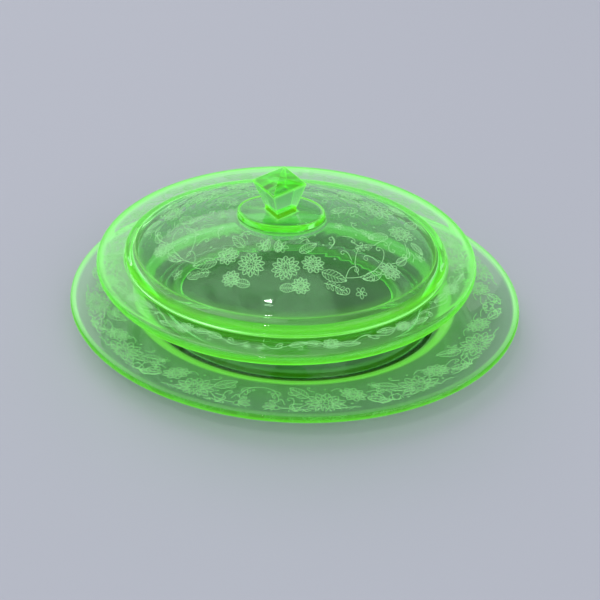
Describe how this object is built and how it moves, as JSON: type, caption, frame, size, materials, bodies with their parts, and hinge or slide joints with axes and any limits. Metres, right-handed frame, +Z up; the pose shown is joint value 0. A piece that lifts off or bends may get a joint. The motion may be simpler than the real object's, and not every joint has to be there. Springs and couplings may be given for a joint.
{
  "type": "covered serving dish",
  "caption": "Oval covered serving dish in pressed glass on an oval underplate, with a low domed cover, a square flared knob and etched floral borders.",
  "frame": {"origin": "on the surface the underplate stands on, under the middle of the underplate", "axes": "+X along the long axis of the ovals, +Y along their short axis, +Z up"},
  "size_m": [0.305, 0.2256, 0.1052],
  "materials": {
    "underplate_glass": "clear green uranium glass, fire-polished, etched rim, glowing green under ultraviolet light",
    "dish_glass": "clear green uranium glass, fire-polished, etched flange, glowing green under ultraviolet light",
    "cover_glass": "clear green uranium glass, fire-polished, etched dome, glowing green under ultraviolet light"
  },
  "bodies": {
    "underplate": {"underplate": "underplate_glass"},
    "dish": {"dish": "dish_glass"},
    "cover": {"cover": "cover_glass"}
  },
  "joints": [
    {"name": "dish_lift", "type": "slide", "parent": "underplate", "child": "dish", "axis": [0, 0, 1], "range_m": [0, 0.12]},
    {"name": "cover_lift", "type": "slide", "parent": "dish", "child": "cover", "axis": [0, 0, 1], "range_m": [0, 0.12]}
  ]
}
